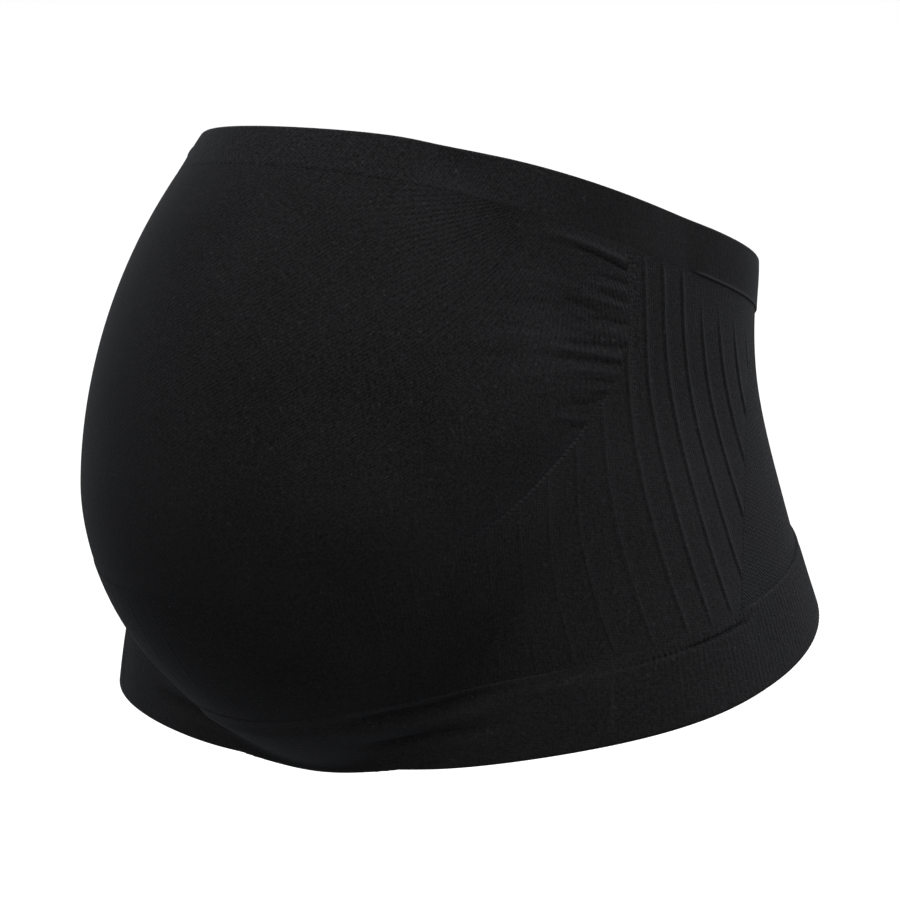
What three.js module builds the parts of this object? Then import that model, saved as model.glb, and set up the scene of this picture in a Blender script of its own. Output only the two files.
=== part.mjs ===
// Maternity support band: a seamless knitted tube, kept in the form that it has when it is worn.
// Millimetres. +Z is up, -Y is the wearer's front and +X the wearer's left.
// The origin is on the axis of the wearer's trunk, level with the front of the lower hem.
// A place on the band is a turn (an angle about the axis, 0 at the front, positive to the left)
// and a height. Every knitted zone is a wall that stands on the form of the body.
import * as THREE from "three";

// The body that the band is stretched over
const FRONT_HEIGHT = 285;      // hem to top edge at the middle of the front
const HIP_HALF_WIDTH = 188;    // hips, half of their width where they are widest
const TORSO_FRONT = 112;       // axis to the front of the trunk, without the bump
const TORSO_BACK = 134;        // axis to the seat, where it reaches furthest back
const FRONT_SQUARENESS = 2.5;  // 2 is an ellipse
const BACK_SQUARENESS = 2.6;
const BUMP_REACH = 209;        // axis to the front of the bump
const BUMP_CENTRE = 69;        // axis to the widest place of the bump
const BUMP_TAIL = 30;          // how far behind the axis the bump's rear end lies, inside the trunk
const BUMP_HALF_WIDTH = 117.5;
const BUMP_LEVEL = 128;        // height at which it is fullest
const BUMP_BELOW = 127;        // from there down to its underside
const BUMP_ABOVE = 189;        // and up to its upper end
const BUMP_ROUNDNESS = 1.87;   // 2 is an ellipse
const BUMP_BLEND = 11;         // how softly the bump grows out of the trunk

// The knitted zones
const GAP = 0.5;               // clearance between neighbouring zones
const JERSEY_WALL = 1.5;
const SUPPORT_WALL = 1.8;
const MESH_WALL = 1.8;
const WELT_WALL = 3;           // both edge bands are knitted double
const WELT_ROUND = 0.9;        // how much a welt's folded edge is rounded off
const UPPER_WELT = 24;         // height of the turned band at the top
const LOWER_WELT = 35;         // height of the turned band at the hem
const CUP_TURN = 70;           // turn of the upright seam between bump panel and rib zone
const RIB_PITCH = 5.2;         // turn from one raised rib to the next, about
const RIB_HALF_TURN = 0.55;
const RIB_STAND = 0.9;         // how far a rib stands out of its zone
const RIB_FADE = 26;           // below the top band the rearmost ribs rise out of the knit
const FADING_TURN = 85;        // the ribs behind this turn do so
const RIB_RUN_OUT = 4;         // length in which a rib runs out flat at its ends
const LAST_RIB_TURN = 108;
const END_TURN = 0.6;          // the rib zone's rear corner is cut off this far from its point
const MESH_LOW_TURN = 86;      // the mesh zone begins here above the lower band
const MESH_HIGH_TURN = 113;    // and here below the upper band
const GATHER_STAND = 2.4;      // height of the deepest gather at the upright seam
const FOLD_DEPTH = 1.5;        // the two soft folds in the lower band under the bump
const LIP_DEPTH = 0.9;         // groove under the narrow lip of the lower band

// Sections of the trunk from the hem's level up, as shares of the sizes above
const SECTIONS = [
  { up: -0.033, side: 1.000, front: 0.895, back: 1.000 },
  { up: 0.177, side: 0.900, front: 1.000, back: 0.860 },
  { up: 0.386, side: 0.796, front: 1.003, back: 0.745 },
  { up: 0.596, side: 0.711, front: 0.967, back: 0.681 },
  { up: 0.806, side: 0.690, front: 0.955, back: 0.737 },
  { up: 1.016, side: 0.656, front: 1.014, back: 0.827 },
];

// The two edges round the body: heights as shares of FRONT_HEIGHT, and the bands' heights there as
// shares of UPPER_WELT and LOWER_WELT, because knit that slopes shows less of its height
const EDGES = [
  { turn: 0, top: 1.000, hem: 0.000, upper: 0.66, lower: 0.78 },
  { turn: 45, top: 0.959, hem: 0.036, upper: 0.87, lower: 1.05 },
  { turn: 90, top: 0.852, hem: 0.149, upper: 0.97, lower: 1.00 },
  { turn: 130, top: 0.770, hem: 0.295, upper: 1.00, lower: 1.00 },
  { turn: 180, top: 0.743, hem: 0.324, upper: 1.00, lower: 1.00 },
];

// The bump panel's lower boundary, a deep cup: turns as shares of CUP_TURN, heights of FRONT_HEIGHT
const CUP = [
  { turn: 0.00, up: 0.294 },
  { turn: 0.37, up: 0.334 },
  { turn: 0.60, up: 0.410 },
  { turn: 0.77, up: 0.500 },
  { turn: 0.91, up: 0.587 },
  { turn: 0.97, up: 0.633 },
  { turn: 1.00, up: 0.685 },
];

// Gathers of the bump panel from the lowest up: height at the seam as a share of FRONT_HEIGHT,
// length as a share of the panel's half turn, stand as a share of GATHER_STAND
const GATHERS = [
  { seam: 0.572, length: 0.16, stand: 0.45 },
  { seam: 0.606, length: 0.24, stand: 0.65 },
  { seam: 0.640, length: 0.28, stand: 0.80 },
  { seam: 0.673, length: 0.26, stand: 0.55 },
  { seam: 0.706, length: 0.28, stand: 0.60 },
  { seam: 0.738, length: 0.26, stand: 0.55 },
  { seam: 0.769, length: 0.32, stand: 0.80 },
  { seam: 0.798, length: 0.34, stand: 1.00 },
];

// Rows of the lower band from hem to top edge: height share, and what each row takes part in
const LOWER_ROWS = [
  { up: 0.00, round: 1, fold: 0.0, lip: 0 },
  { up: 0.05, round: 0, fold: 0.0, lip: 0 },
  { up: 0.52, round: 0, fold: -0.7, lip: 0 },
  { up: 0.66, round: 0, fold: 0.5, lip: 0 },
  { up: 0.78, round: 0, fold: -1.0, lip: 1 },
  { up: 0.85, round: 0, fold: -0.3, lip: 0 },
  { up: 0.97, round: 0, fold: 0.0, lip: 0 },
  { up: 1.00, round: 1, fold: 0.0, lip: 0 },
];
const UPPER_ROWS = [
  { up: 0.00, round: 1 },
  { up: 0.06, round: 0 },
  { up: 0.94, round: 0 },
  { up: 1.00, round: 1 },
];
const FOLD_FROM = 8;           // turns between which the folds lie
const FOLD_TO = 56;
const LIP_FROM = 60;           // turns between which the lip stands free
const LIP_TO = 100;

// Fineness of the meshes
const CORNER_TURN = 0.6 * CUP_TURN;  // the bump panel's bottom row ends in corners here
const BAND_STEPS = 72;
const PANEL_COLUMNS = 28;
const PLAIN_ROWS = 6;
const UNDER_ROWS = 5;
const SIDE_ROWS = 4;
const MESH_ROWS = 10;
const MESH_COLUMNS = 16;
const HALVINGS = 30;
const STEP = 0.5;              // how far to either side a slope is measured

// Turns of the middle of the front and of the back
const FRONT = 0;
const BACK = 180;

const toRadians = THREE.MathUtils.degToRad;
const lerp = THREE.MathUtils.lerp;
const clamp = THREE.MathUtils.clamp;
const smooth = (value) => THREE.MathUtils.smoothstep(value, 0, 1);

// One column of a table at any place along another, as a curve through every row. At the places
// in levelAt it is level, as a line is that crosses the middle of the front or back
function along(rows, place, at, column, levelAt = []) {
  const last = rows.length - 1;
  const held = clamp(at, rows[0][place], rows[last][place]);
  let row = 0;
  while (row < last - 1 && held > rows[row + 1][place]) row += 1;
  const slope = (index) => {
    if (levelAt.includes(rows[index][place])) return 0;
    const from = rows[Math.max(index - 1, 0)];
    const to = rows[Math.min(index + 1, last)];
    return (to[column] - from[column]) / (to[place] - from[place]);
  };
  const span = rows[row + 1][place] - rows[row][place];
  const t = (held - rows[row][place]) / span;
  const rise = rows[row + 1][column] - rows[row][column];
  const bend = t * (slope(row + 1) * span - rise) - (1 - t) * (slope(row) * span - rise);
  return rows[row][column] + t * rise - t * (1 - t) * bend;
}

// Distance from the axis to the trunk and the bump together
function reach(turn, height) {
  const side = Math.sin(toRadians(turn));
  const ahead = Math.cos(toRadians(turn));
  const up = height / FRONT_HEIGHT;
  const width = HIP_HALF_WIDTH * along(SECTIONS, "up", up, "side");
  const depth = ahead > 0
    ? TORSO_FRONT * along(SECTIONS, "up", up, "front")
    : TORSO_BACK * along(SECTIONS, "up", up, "back");
  const power = ahead > 0 ? FRONT_SQUARENESS : BACK_SQUARENESS;
  const trunk = (Math.abs(side / width) ** power + Math.abs(ahead / depth) ** power) ** (-1 / power);
  const bump = bumpReach(side, ahead, height);
  return (trunk + bump + Math.hypot(trunk - bump, BUMP_BLEND)) / 2;
}

// Distance from the axis to the bump alone: an egg that is widest at BUMP_CENTRE
function bumpReach(side, ahead, height) {
  const above = height > BUMP_LEVEL;
  const level = Math.abs(height - BUMP_LEVEL) / (above ? BUMP_ABOVE : BUMP_BELOW);
  const share = Math.max(1 - level ** BUMP_ROUNDNESS, 0) ** (1 / BUMP_ROUNDNESS);
  const cross = (halfDepth) => {
    const square = (side / BUMP_HALF_WIDTH) ** 2 + (ahead / halfDepth) ** 2;
    const middle = ahead * BUMP_CENTRE / halfDepth ** 2;
    const inside = middle ** 2 - square * ((BUMP_CENTRE / halfDepth) ** 2 - share ** 2);
    return inside > 0 ? Math.max((middle + Math.sqrt(inside)) / square, 0) : 0;
  };
  const front = cross(BUMP_REACH - BUMP_CENTRE);
  return front * ahead >= BUMP_CENTRE ? front : cross(BUMP_CENTRE + BUMP_TAIL);
}

function skin(turn, height) {
  const away = reach(turn, height);
  const angle = toRadians(turn);
  return new THREE.Vector3(away * Math.sin(angle), -away * Math.cos(angle), height);
}

// A point that stands a given distance off the body
function off(turn, height, stand) {
  const across = skin(turn + STEP, height).sub(skin(turn - STEP, height));
  const upward = skin(turn, height + STEP).sub(skin(turn, height - STEP));
  const normal = across.cross(upward).normalize();
  return skin(turn, height).addScaledVector(normal, stand);
}

// Heights of the zones' edges at a turn
const edge = (turn, column) => along(EDGES, "turn", Math.abs(turn), column, [FRONT, BACK]);
const topEdge = (turn) => FRONT_HEIGHT * edge(turn, "top");
const hemEdge = (turn) => FRONT_HEIGHT * edge(turn, "hem");
const upperSeam = (turn) => topEdge(turn) - UPPER_WELT * edge(turn, "upper");
const lowerSeam = (turn) => hemEdge(turn) + LOWER_WELT * edge(turn, "lower");

// The cup's height at a turn, and the turn at which it reaches a height
const cupHeight = (turn) => FRONT_HEIGHT * along(CUP, "turn", Math.abs(turn) / CUP_TURN, "up", [FRONT]);
function cupTurn(height) {
  let low = 0;
  let high = CUP_TURN;
  for (let halving = 0; halving < HALVINGS; halving += 1) {
    const middle = (low + high) / 2;
    if (cupHeight(middle) < height) low = middle;
    else high = middle;
  }
  return (low + high) / 2;
}

// The mesh zone's slanting front edge, as height above the lower band's seam
function meshHeight(turn) {
  const share = clamp((Math.abs(turn) - MESH_LOW_TURN) / (MESH_HIGH_TURN - MESH_LOW_TURN), 0, 1);
  return lerp(lowerSeam(turn), upperSeam(turn), share);
}

// A closed wall from a sheet of four-cornered cells: an outer and an inner skin, joined by a rim
// wherever a cell has no neighbour
function wall(outer, inner, cells) {
  const count = outer.length;
  const positions = [...outer, ...inner].flatMap((point) => point.toArray());
  const faces = [];
  const addCell = (a, b, c, d) => faces.push(a, b, c, a, c, d);
  const rims = new Map();
  for (const cell of cells) {
    addCell(...cell);
    addCell(...cell.map((corner) => corner + count).reverse());
    cell.forEach((from, index) => {
      const to = cell[(index + 1) % cell.length];
      if (!rims.delete(`${to} ${from}`)) rims.set(`${from} ${to}`, [from, to]);
    });
  }
  for (const [from, to] of rims.values()) addCell(to, from, from + count, to + count);
  const geometry = new THREE.BufferGeometry();
  geometry.setAttribute("position", new THREE.Float32BufferAttribute(positions, 3));
  geometry.setIndex(faces);
  geometry.computeVertexNormals();
  return geometry;
}

// A sheet under construction: equal places share one corner, so strips laid side by side join up
function makeSheet() {
  const outer = [];
  const inner = [];
  const known = new Map();
  const cells = [];
  const corner = (turn, height, face, back) => {
    const key = `${turn.toFixed(4)} ${height.toFixed(3)}`;
    if (!known.has(key)) {
      known.set(key, outer.length);
      outer.push(off(turn, height, face));
      inner.push(off(turn, height, back));
    }
    return known.get(key);
  };
  const addGrid = (columns) => {
    for (let column = 1; column < columns.length; column += 1) {
      const left = columns[column - 1];
      const right = columns[column];
      for (let row = 1; row < left.length; row += 1) {
        cells.push([left[row - 1], right[row - 1], right[row], left[row]]);
      }
    }
  };
  return { corner, addGrid, close: () => wall(outer, inner, cells) };
}

// A ring all the way round: each row gives a height, an outer stand and an inner stand at a turn
function ring(rows, place) {
  const outer = [];
  const inner = [];
  const cells = [];
  for (let step = 0; step < BAND_STEPS; step += 1) {
    const turn = 360 * step / BAND_STEPS - 180;
    for (const row of rows) {
      const { height, face, back } = place(turn, row);
      outer.push(off(turn, height, face));
      inner.push(off(turn, height, back));
    }
    const here = step * rows.length;
    const next = ((step + 1) % BAND_STEPS) * rows.length;
    for (let row = 1; row < rows.length; row += 1) {
      cells.push([here + row - 1, next + row - 1, next + row, here + row]);
    }
  }
  return wall(outer, inner, cells);
}

function makeUpperBand() {
  return ring(UPPER_ROWS, (turn, row) => ({
    height: lerp(upperSeam(turn), topEdge(turn), row.up),
    face: WELT_WALL - WELT_ROUND * row.round,
    back: WELT_ROUND * row.round,
  }));
}

// A hump that is 1 in the middle of a stretch of turns and 0 at its two ends, on both sides
const hump = (turn, from, to) => {
  const share = clamp((Math.abs(turn) - from) / (to - from), 0, 1);
  return Math.sin(Math.PI * share) ** 2;
};

function makeLowerBand() {
  return ring(LOWER_ROWS, (turn, row) => {
    const fold = FOLD_DEPTH * row.fold * hump(turn, FOLD_FROM, FOLD_TO);
    const groove = LIP_DEPTH * row.lip * hump(turn, LIP_FROM, LIP_TO);
    return {
      height: lerp(hemEdge(turn), lowerSeam(turn) - GAP * slant(lowerSeam, turn), row.up),
      face: WELT_WALL - WELT_ROUND * row.round + fold - groove,
      back: WELT_ROUND * row.round + Math.max(fold, 0),
    };
  });
}

// How much longer than level an edge line is at a turn, so that a gap across it stays even
function slant(line, turn) {
  const run = toRadians(2 * STEP) * reach(turn, line(turn));
  return Math.hypot(1, (line(turn + STEP) - line(turn - STEP)) / run);
}

// Edge lines that keep clear of a neighbouring zone
const belowUpperBand = (turn) => upperSeam(turn) - GAP * slant(upperSeam, turn);
const panelBottom = (turn) => cupHeight(turn) + GAP * slant(cupHeight, turn);

// Bump panel: its rows run from one side edge to the other, one on and one between each gather
function makeBumpPanel() {
  const sheet = makeSheet();
  const rows = panelRows();
  const firstGather = FRONT_HEIGHT * GATHERS[0].seam;
  // At the front the rows are spread from the foot of the cup to the upper band
  const centre = (height) => {
    const low = rows[0].height;
    const high = rows[rows.length - 1].height;
    if (height < firstGather) {
      return lerp(panelBottom(FRONT), firstGather, (height - low) / (firstGather - low));
    }
    return lerp(firstGather, belowUpperBand(FRONT), (height - firstGather) / (high - firstGather));
  };
  const shapeOf = (edgeLine, across, edgeTurn) => {
    const rise = edgeLine(edgeTurn) - edgeLine(FRONT);
    return (edgeLine(across * edgeTurn) - edgeLine(FRONT)) / rise;
  };
  const columns = [];
  for (let step = 0; step <= PANEL_COLUMNS; step += 1) {
    const across = 2 * step / PANEL_COLUMNS - 1;
    const shapeBelow = shapeOf(panelBottom, across, CORNER_TURN);
    const shapeAbove = shapeOf(belowUpperBand, across, CUP_TURN);
    columns.push(rows.map((row, index) => {
      const shape = lerp(shapeBelow, shapeAbove, smooth(index / (rows.length - 1)));
      const height = lerp(centre(row.height), row.height, shape);
      const fade = smooth(1 - (1 - Math.abs(across)) / row.length);
      const stand = GATHER_STAND * row.stand * fade;
      return sheet.corner(across * row.turn, height, JERSEY_WALL + stand, stand);
    }));
  }
  sheet.addGrid(columns);
  return sheet.close();
}

// The bump panel's rows along its side edge, from the cup's corner to the upper band
function panelRows() {
  const low = panelBottom(CORNER_TURN);
  const high = belowUpperBand(CUP_TURN);
  const rows = [];
  const add = (height, length, stand) => {
    const seamTurn = height - GAP < cupHeight(CUP_TURN) ? cupTurn(height - GAP) : CUP_TURN;
    const oneTurn = toRadians(1) * reach(seamTurn, height);
    rows.push({ height, length, stand, seamTurn, turn: seamTurn - GAP / oneTurn });
  };
  const first = FRONT_HEIGHT * GATHERS[0].seam;
  for (let step = 0; step < PLAIN_ROWS; step += 1) {
    add(lerp(low, first, step / PLAIN_ROWS), 1, 0);
  }
  GATHERS.forEach((gather, index) => {
    const height = FRONT_HEIGHT * gather.seam;
    const next = index + 1 < GATHERS.length ? FRONT_HEIGHT * GATHERS[index + 1].seam : high;
    add(height, gather.length, gather.stand);
    add((height + next) / 2, gather.length, 0);
  });
  add(high, 1, 0);
  return rows;
}

// The turns of every raised rib: one on each upright seam, an odd number of equal spaces between
// the two, and more ribs behind them at the same pitch
function ribTurns() {
  const pairs = Math.round(CUP_TURN / RIB_PITCH - 0.5);
  const pitch = CUP_TURN / (pairs + 0.5);
  const behind = Math.floor((LAST_RIB_TURN - CUP_TURN) / pitch);
  const turns = [];
  for (let rib = -pairs; rib <= behind; rib += 1) turns.push(CUP_TURN + rib * pitch);
  return turns.flatMap((turn) => [turn, -turn]).sort((a, b) => a - b);
}

// Rib zone: one piece from the mesh zone on one side, under the bump, to the other side
function makeSupportPanel() {
  const sheet = makeSheet();
  const crests = ribTurns();
  const end = MESH_HIGH_TURN - END_TURN;
  const seamTurns = panelRows().map((row) => row.seamTurn).filter((turn) => turn < CUP_TURN);
  const between = crests.slice(1).map((turn, index) => (turn + crests[index]) / 2)
    .filter((turn) => Math.abs(turn) < CORNER_TURN);
  const sides = crests.flatMap((turn) => [turn - RIB_HALF_TURN, turn, turn + RIB_HALF_TURN]);
  const turns = [...new Set([
    ...sides, ...between, -end, end, ...seamTurns, ...seamTurns.map((turn) => -turn),
  ])].sort((a, b) => a - b);

  // A rib runs out flat at both ends, and the rearmost ones begin lower down
  const ribStand = (turn, height, low, high) => {
    if (!crests.includes(turn)) return 0;
    const begun = Math.abs(turn) > FADING_TURN ? (belowUpperBand(turn) - height) / RIB_FADE : 1;
    const clear = Math.min(height - low, high - height) / RIB_RUN_OUT;
    return RIB_STAND * smooth(begun) * smooth(clear);
  };
  const column = (turn, from, to, rowCount, low, high) => {
    const corners = [];
    for (let row = 0; row <= rowCount; row += 1) {
      const height = lerp(from, to, row / rowCount);
      corners.push(sheet.corner(turn, height, SUPPORT_WALL + ribStand(turn, height, low, high), 0));
    }
    return corners;
  };

  sheet.addGrid(turns.filter((turn) => Math.abs(turn) <= CUP_TURN).map((turn) => {
    const low = lowerSeam(turn);
    const high = cupHeight(turn);
    return column(turn, low, high, UNDER_ROWS, low, high);
  }));
  // Beside the cup, the rows below its upper corner meet those under the cup
  const sideHeight = belowUpperBand(CUP_TURN) - lowerSeam(CUP_TURN);
  const cornerShare = (cupHeight(CUP_TURN) - lowerSeam(CUP_TURN)) / sideHeight;
  for (const side of [-1, 1]) {
    const beside = turns.filter((turn) => turn * side >= CUP_TURN).map((turn) => {
      const low = meshHeight(turn);
      const high = belowUpperBand(turn);
      return { turn, low, high, level: lerp(low, high, cornerShare) };
    });
    sheet.addGrid(beside.map(({ turn, low, level, high }) => (
      column(turn, low, level, UNDER_ROWS, low, high))));
    sheet.addGrid(beside.map(({ turn, low, level, high }) => (
      column(turn, level, high, SIDE_ROWS, low, high))));
  }
  return sheet.close();
}

// Mesh zone across the back, wider at its foot than at its top
function makeBackPanel() {
  const sheet = makeSheet();
  const columns = [];
  const rise = upperSeam(MESH_HIGH_TURN) - lowerSeam(MESH_LOW_TURN);
  const run = toRadians(MESH_HIGH_TURN - MESH_LOW_TURN) * HIP_HALF_WIDTH;
  const clearTurn = THREE.MathUtils.radToDeg(GAP * Math.hypot(1, run / rise) / TORSO_BACK);
  for (let step = 0; step <= MESH_COLUMNS; step += 1) {
    const across = 2 * step / MESH_COLUMNS - 1;
    const column = [];
    for (let row = 0; row <= MESH_ROWS; row += 1) {
      const share = row / MESH_ROWS;
      const edgeTurn = lerp(MESH_LOW_TURN, MESH_HIGH_TURN, share) + clearTurn;
      const turn = BACK + across * (BACK - edgeTurn);
      const signed = turn > BACK ? turn - 2 * BACK : turn;
      const height = lerp(lowerSeam(signed), belowUpperBand(signed), share);
      column.push(sheet.corner(turn, height, MESH_WALL, 0));
    }
    columns.push(column);
  }
  sheet.addGrid(columns);
  return sheet.close();
}

function makeMesh(name, geometry, colour, roughness) {
  const material = new THREE.MeshStandardMaterial({ color: colour, roughness, metalness: 0 });
  const mesh = new THREE.Mesh(geometry, material);
  mesh.name = name;
  return mesh;
}

const band = new THREE.Group();
band.add(makeMesh("upper_band", makeUpperBand(), 0x1d1f22, 0.9));
band.add(makeMesh("bump_panel", makeBumpPanel(), 0x191a1d, 0.85));
band.add(makeMesh("support_panel", makeSupportPanel(), 0x1b1d20, 0.9));
band.add(makeMesh("back_panel", makeBackPanel(), 0x1c1e21, 0.9));
band.add(makeMesh("lower_band", makeLowerBand(), 0x1c1d20, 0.9));

export default band;
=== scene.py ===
"""Maternity support band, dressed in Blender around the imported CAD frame.

Metres and degrees. A place on the band is a turn (an angle about the wearer's axis, 0 at the
front, positive to the wearer's left) and a height above the front of the hem. Every knitted zone
is a thin wall of cloth that stands on the worn form of its CAD node. A hump is given by its middle
and half width, and a rise by its start and length. Tones and grains are shares of full shade.
"""
import math

import bpy
import numpy as np
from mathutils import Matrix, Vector


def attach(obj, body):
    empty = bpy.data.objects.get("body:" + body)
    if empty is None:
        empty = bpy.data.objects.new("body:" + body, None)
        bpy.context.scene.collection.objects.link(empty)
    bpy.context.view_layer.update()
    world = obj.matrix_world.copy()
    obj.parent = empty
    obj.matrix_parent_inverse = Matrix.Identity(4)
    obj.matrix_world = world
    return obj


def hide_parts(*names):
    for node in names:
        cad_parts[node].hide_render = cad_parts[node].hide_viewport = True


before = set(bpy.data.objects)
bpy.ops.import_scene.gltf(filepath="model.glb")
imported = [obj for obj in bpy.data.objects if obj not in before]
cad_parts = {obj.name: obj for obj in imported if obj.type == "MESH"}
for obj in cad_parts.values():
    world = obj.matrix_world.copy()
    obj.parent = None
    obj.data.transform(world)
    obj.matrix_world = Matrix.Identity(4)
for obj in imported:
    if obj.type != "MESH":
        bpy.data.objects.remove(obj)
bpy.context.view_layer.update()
MM = 0.001

# The worn form: the body under the band, as in the part's source
FRONT_HEIGHT = 285 * MM
HIP_HALF_WIDTH = 188 * MM
TORSO_FRONT = 112 * MM
TORSO_BACK = 134 * MM
FRONT_SQUARENESS = 2.5
BACK_SQUARENESS = 2.6
BUMP_REACH = 209 * MM
BUMP_CENTRE = 69 * MM
BUMP_TAIL = 30 * MM
BUMP_HALF_WIDTH = 117.5 * MM
BUMP_LEVEL = 128 * MM
BUMP_BELOW = 127 * MM
BUMP_ABOVE = 189 * MM
BUMP_ROUNDNESS = 1.87
BUMP_BLEND = 11 * MM

# The trunk by height ("up", a share of FRONT_HEIGHT), as shares of its three sizes
SECTIONS = {
    "up": [-0.033, 0.177, 0.386, 0.596, 0.806, 1.016],
    "side": [1.000, 0.900, 0.796, 0.711, 0.690, 0.656],
    "front": [0.895, 1.000, 1.003, 0.967, 0.955, 1.014],
    "back": [1.000, 0.860, 0.745, 0.681, 0.737, 0.827],
}
# The edges by turn, as shares of FRONT_HEIGHT, and the height of both bands, as shares of theirs
EDGES = {
    "turn": [0, 45, 90, 130, 180],
    "top": [1.000, 0.959, 0.852, 0.770, 0.743],
    "hem": [0.000, 0.036, 0.149, 0.295, 0.324],
    "upper": [0.66, 0.87, 0.97, 1.00, 1.00],
    "lower": [0.78, 1.05, 1.00, 0.84, 1.00],
}
# The bump panel's deep lower edge, as shares of CUP_TURN and of FRONT_HEIGHT
CUP = {
    "turn": [0.00, 0.37, 0.60, 0.77, 0.91, 0.97, 1.00],
    "up": [0.294, 0.334, 0.410, 0.500, 0.587, 0.633, 0.685],
}
# Where the cloth stands off that form: how far out, then a hump over turns and one over heights
FLARES = [
    (1.2 * MM, 27, 10, 282 * MM, 14 * MM),
    (-0.9 * MM, 50, 13, 271 * MM, 12 * MM),
    (1.1 * MM, 116, 24, 158 * MM, 55 * MM),
]
# Where the hem is drawn up a little as it leaves the belly: how far, and a hump over turns
HEM_DRAWS = [(1.6 * MM, 20, 13), (0.7 * MM, 0, 14)]

# The knitted zones
UPPER_WELT = 24 * MM
LOWER_WELT = 35 * MM
CUP_TURN = 70
CORNER_TURN = 42
MESH_LOW_TURN = 86
MESH_HIGH_TURN = 113
LAST_TURN = MESH_HIGH_TURN - 0.4
JERSEY_WALL = 1.3 * MM
SUPPORT_WALL = 1.6 * MM
MESH_WALL = 1.5 * MM
WELT_WALL = 3 * MM
SEAM = 0.02 * MM  # hairline between zones
LAP = 1.5 * MM  # how far one zone's edge is knitted in behind the next
LAP_FACE = 0.42 * MM
LAP_BACK = 0.58 * MM
MESH_LAP = 2.5 * LAP  # how far the support zone makes room for the mesh zone's lap
SAG_MARGIN = 12 * MM  # a zone's slow waves die out this far from its edges
WALE_DEGREES = 2.55  # millimetres of knit for each degree of turn
RIPPLE_WAVES = 7
STEP_TURN = 0.25  # half the steps over which a normal is taken
STEP_HEIGHT = 0.5 * MM
CORNER_ROUNDING = (1e3, 1e6)  # corners are one if they agree to 0.001 degree and 0.001 mm
SHARP_ANGLE = 55
TINY = 1e-6

# The camera stands where the photograph was taken from
AZIMUTH = 40.01
ELEVATION = 4.28
DISTANCE = 2.477
FOCUS = Vector((0, -0.030, 0.13605))
AIM = Vector((0.0075, -0.0237, 0.1384))
LENS = 218.8
SENSOR = 36


def lerp(a, b, share):
    return a + (b - a) * share


def rise(value, start, length):
    """0 up to the start, then smoothly up to 1 within the length."""
    held = np.clip((value - start) / length, 0, 1)
    return held * held * (3 - 2 * held)


def fall(value, start, length):
    return 1 - rise(value, start, length)


def hump(value, middle, width):
    """1 in the middle, falling off over the width to both sides."""
    return np.exp(-(((value - middle) / width) ** 2))


def along(table, place, at, column, level_at=()):
    """A column of a table at places along another, as a smooth curve through every row."""
    x = np.array(table[place], float)
    y = np.array(table[column], float)
    index = np.arange(len(x))
    low = np.maximum(index - 1, 0)
    high = np.minimum(index + 1, len(x) - 1)
    slope = (y[high] - y[low]) / (x[high] - x[low])
    slope[np.isin(x, level_at)] = 0
    at = np.clip(at, x[0], x[-1])
    row = np.clip(np.searchsorted(x, at) - 1, 0, len(x) - 2)
    span = x[row + 1] - x[row]
    t = (at - x[row]) / span
    change = y[row + 1] - y[row]
    bend = t * (slope[row + 1] * span - change) - (1 - t) * (slope[row] * span - change)
    return y[row] + t * change - t * (1 - t) * bend


def reach(turn, height):
    """Distance from the axis to the trunk and the bump together."""
    side = np.sin(np.radians(turn))
    ahead = np.cos(np.radians(turn))
    up = height / FRONT_HEIGHT
    width = HIP_HALF_WIDTH * along(SECTIONS, "up", up, "side")
    front = TORSO_FRONT * along(SECTIONS, "up", up, "front")
    back = TORSO_BACK * along(SECTIONS, "up", up, "back")
    depth = np.where(ahead > 0, front, back)
    power = np.where(ahead > 0, FRONT_SQUARENESS, BACK_SQUARENESS)
    trunk = (np.abs(side / width) ** power + np.abs(ahead / depth) ** power) ** (-1 / power)
    bump = bump_reach(side, ahead, height)
    flare = 0
    for size, middle, width, level, tall in FLARES:
        flare = flare + size * hump(np.abs(turn), middle, width) * hump(height, level, tall)
    return (trunk + bump + np.hypot(trunk - bump, BUMP_BLEND)) / 2 + flare


def bump_reach(side, ahead, height):
    """Distance from the axis to the bump alone: an egg that is widest at BUMP_CENTRE."""
    level = np.abs(height - BUMP_LEVEL) / np.where(height > BUMP_LEVEL, BUMP_ABOVE, BUMP_BELOW)
    share = np.maximum(1 - level**BUMP_ROUNDNESS, 0) ** (1 / BUMP_ROUNDNESS)

    def cross(half_depth):
        square = (side / BUMP_HALF_WIDTH) ** 2 + (ahead / half_depth) ** 2
        middle = ahead * BUMP_CENTRE / half_depth**2
        inside = middle**2 - square * ((BUMP_CENTRE / half_depth) ** 2 - share**2)
        root = np.sqrt(np.maximum(inside, 0))
        return np.where(inside > 0, np.maximum((middle + root) / square, 0), 0)

    front = cross(BUMP_REACH - BUMP_CENTRE)
    return np.where(front * ahead >= BUMP_CENTRE, front, cross(BUMP_CENTRE + BUMP_TAIL))


def skin(turn, height):
    away = reach(turn, height)
    angle = np.radians(turn)
    return np.stack([away * np.sin(angle), -away * np.cos(angle), height + 0 * away], -1)


def normals(turn, height):
    across = skin(turn + STEP_TURN, height) - skin(turn - STEP_TURN, height)
    upward = skin(turn, height + STEP_HEIGHT) - skin(turn, height - STEP_HEIGHT)
    normal = np.cross(across, upward)
    return normal / np.linalg.norm(normal, axis=-1, keepdims=True)


def arc(turn_difference, turn, height):
    """Length across the cloth of a difference in turn."""
    return np.radians(turn_difference) * reach(turn, height)


def edge(turn, column):
    wrapped = np.abs((np.asarray(turn) + 180) % 360 - 180)
    return along(EDGES, "turn", wrapped, column, (0, 180))


def top_edge(turn):
    return FRONT_HEIGHT * edge(turn, "top")


def hem_edge(turn):
    drawn = sum(size * hump(np.abs(turn), middle, width) for size, middle, width in HEM_DRAWS)
    return FRONT_HEIGHT * edge(turn, "hem") + drawn


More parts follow.
